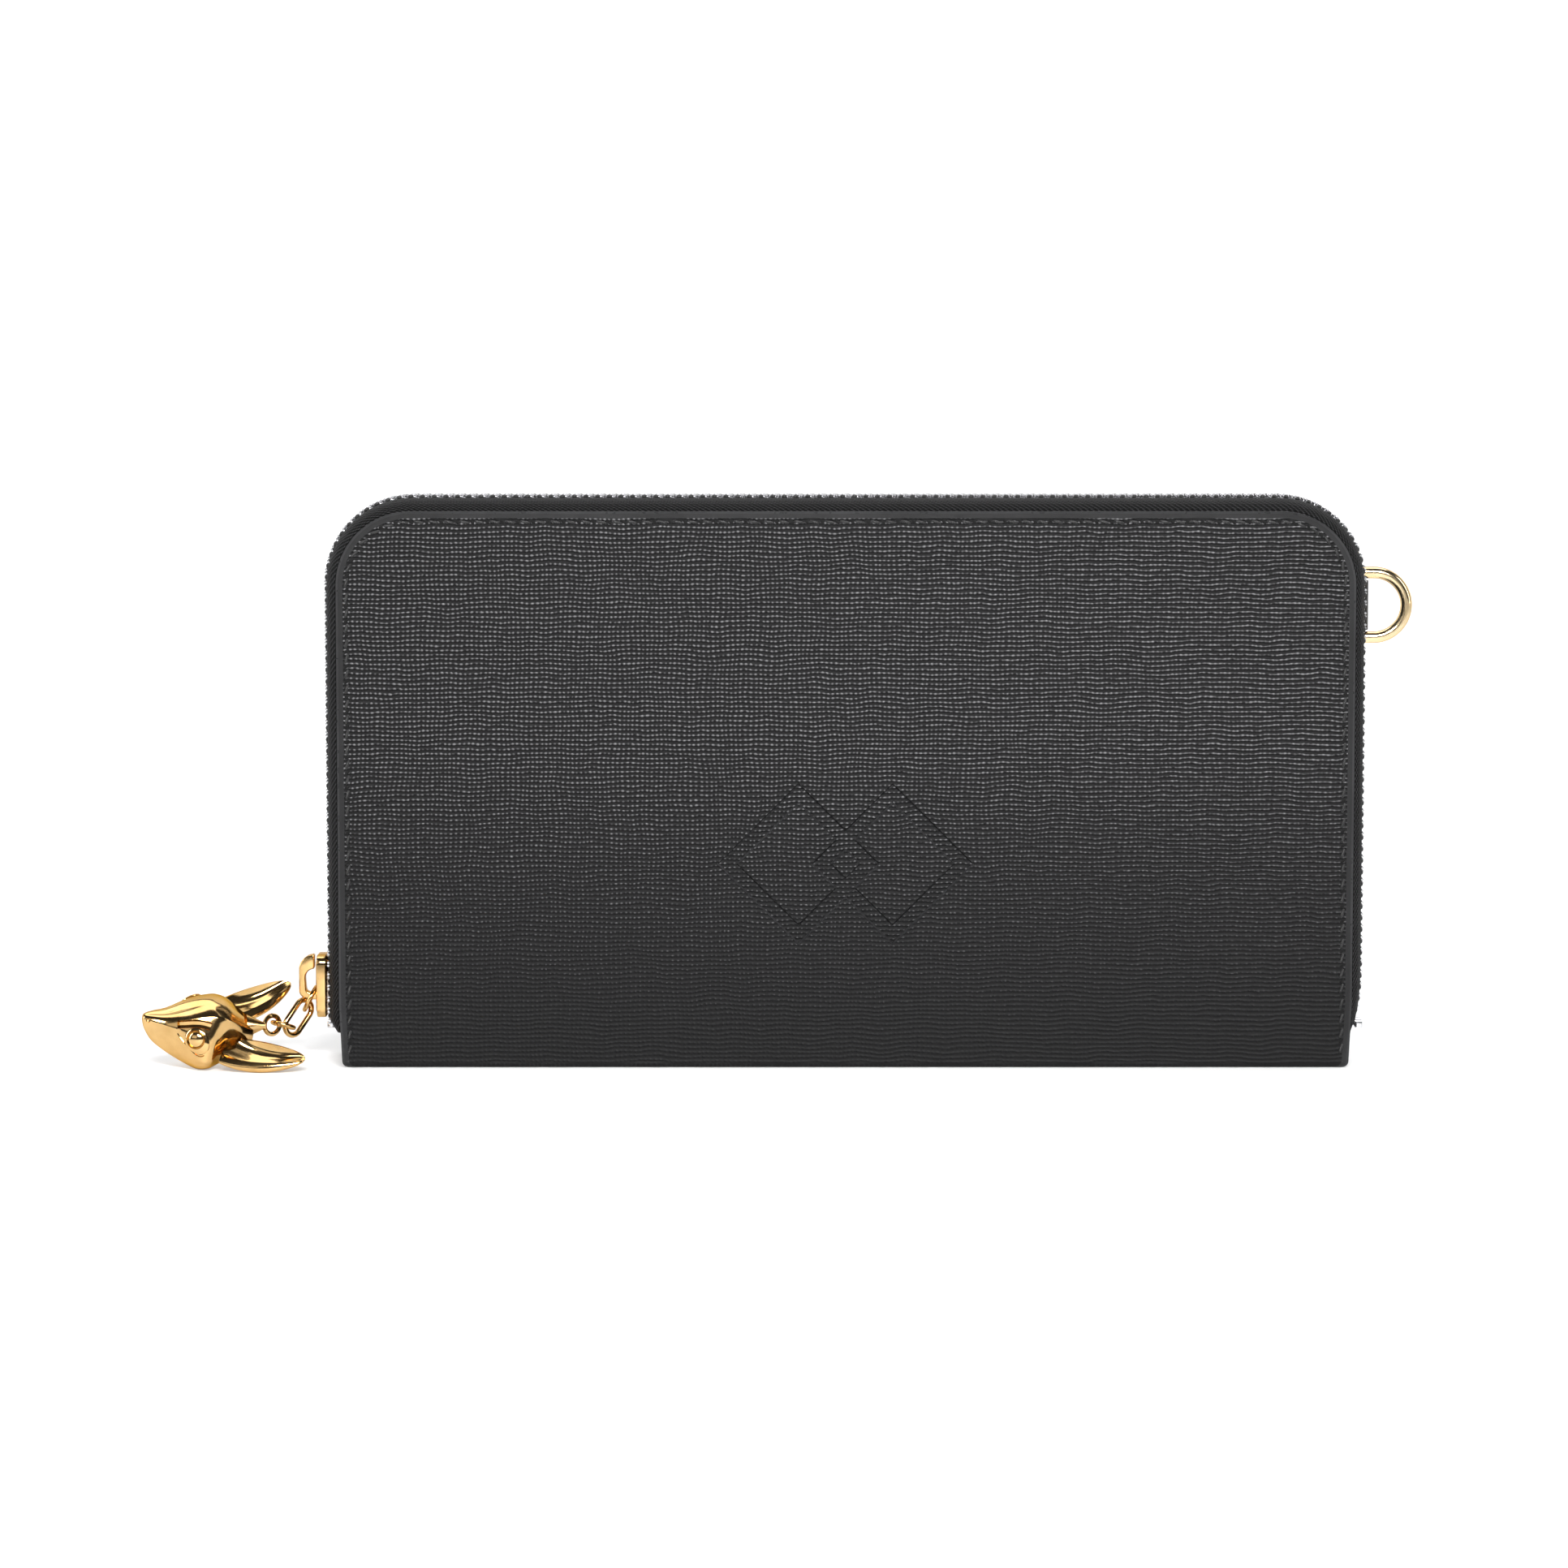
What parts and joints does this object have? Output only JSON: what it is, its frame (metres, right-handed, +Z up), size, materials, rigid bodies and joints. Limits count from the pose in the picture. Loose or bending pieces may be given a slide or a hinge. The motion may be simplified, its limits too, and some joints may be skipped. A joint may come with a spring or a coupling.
{
  "type": "zip around wallet",
  "caption": "Long leather wallet with a zip around three sides, card and note pockets, zipped coin pocket, D-ring and chained head charm, standing on its spine.",
  "frame": {"origin": "on the floor at the middle of the spine's underside, on which the closed wallet stands", "axes": "+X along the wallet towards the D-ring, +Y from the front cover to the back cover, +Z up"},
  "size_m": [0.2452, 0.0294, 0.1101],
  "materials": {
    "grained_leather": "cross-hatched embossed grain, semi-matt black",
    "lining_cloth": "fine ribbed black lining",
    "board": "grey-brown stiffening board",
    "zip_tape": "black twill tape",
    "zip_metal": "bright metal",
    "gold_metal": "polished pale gold plating"
  },
  "bodies": {
    "back_half": {"back_cover": "grained_leather", "back_board": "board", "back_lining": "lining_cloth", "back_card_strip_1": "grained_leather", "back_card_strip_2": "grained_leather", "back_card_strip_3": "grained_leather", "back_zip_tape": "zip_tape", "back_zip_teeth": "zip_metal", "back_left_stop": "zip_metal", "back_right_stop": "zip_metal", "spine_cover": "grained_leather", "spine_board": "board", "spine_lining": "lining_cloth", "left_gusset": "lining_cloth", "right_gusset": "lining_cloth", "d_ring_tab": "grained_leather"},
    "front_half": {"front_cover": "grained_leather", "front_board": "board", "front_lining": "lining_cloth", "front_card_strip_1": "grained_leather", "front_card_strip_2": "grained_leather", "front_card_strip_3": "grained_leather", "front_zip_tape": "zip_tape", "front_zip_teeth": "zip_metal", "front_left_stop": "zip_metal", "front_right_stop": "zip_metal"},
    "coin_pocket": {"coin_pouch": "lining_cloth", "coin_front_tape": "zip_tape", "coin_back_tape": "zip_tape", "coin_front_teeth": "zip_metal", "coin_back_teeth": "zip_metal", "coin_left_stop": "zip_metal", "coin_right_stop": "zip_metal", "coin_left_seam": "lining_cloth", "coin_right_seam": "lining_cloth"},
    "coin_slider": {"coin_slider_body": "gold_metal"},
    "coin_puller": {"coin_puller_tab": "gold_metal"},
    "zip_slider": {"slider_body": "gold_metal", "slider_bridge": "gold_metal"},
    "pull_ring_1": {"pull_ring_1": "gold_metal"},
    "pull_link_2": {"pull_link_2": "gold_metal"},
    "pull_ring_3": {"pull_ring_3": "gold_metal"},
    "charm": {"charm_head": "gold_metal"},
    "d_ring": {"d_ring": "gold_metal"}
  },
  "joints": [
    {"name": "cover_open", "type": "hinge", "parent": "back_half", "child": "front_half", "pos_m": [0, -0.0095, 0.0008], "axis": [1, 0, 0], "range_deg": [0, 50], "deforming": ["left_gusset", "right_gusset"]},
    {"name": "coin_pocket_swing", "type": "hinge", "parent": "back_half", "child": "coin_pocket", "pos_m": [0, -0.0095, 0.0008], "axis": [1, 0, 0], "range_deg": [0, 25]},
    {"name": "coin_slider_travel", "type": "slide", "parent": "coin_pocket", "child": "coin_slider", "axis": [-1, 0, 0], "range_m": [0, 0.132]},
    {"name": "coin_puller_flip", "type": "hinge", "parent": "coin_slider", "child": "coin_puller", "pos_m": [0.066, 0, 0.0892], "axis": [0, 1, 0], "range_deg": [0, 180]},
    {"name": "slider_travel", "type": "slide", "parent": "back_half", "child": "zip_slider", "axis": [0, 0, 1], "range_m": [0, 0.068]},
    {"name": "pull_ring_1_swing", "type": "hinge", "parent": "zip_slider", "child": "pull_ring_1", "pos_m": [-0.1035, 0, 0.01265], "axis": [0, 1, 0], "range_deg": [-10, 6]},
    {"name": "pull_link_2_swing", "type": "hinge", "parent": "pull_ring_1", "child": "pull_link_2", "pos_m": [-0.10418, 0, 0.01131], "axis": [-0.6691, 0.7431, 0], "range_deg": [-8, 10]},
    {"name": "pull_ring_3_swing", "type": "hinge", "parent": "pull_link_2", "child": "pull_ring_3", "pos_m": [-0.10796, -0.0034, 0.00567], "axis": [0.5523, 0.4973, -0.6691], "range_deg": [-15, 15]},
    {"name": "charm_swing", "type": "hinge", "parent": "pull_ring_3", "child": "charm", "pos_m": [-0.11073, -0.0059, 0.00765], "axis": [-0.6691, 0.7431, 0], "range_deg": [-20, 25]},
    {"name": "d_ring_swivel", "type": "hinge", "parent": "back_half", "child": "d_ring", "pos_m": [0.0997, 0.00915, 0.088], "axis": [0, 0, 1], "range_deg": [-55, 90]}
  ],
  "couplings": [
    {"joint": "coin_pocket_swing", "follows": "cover_open", "ratio": 0.5}
  ]
}
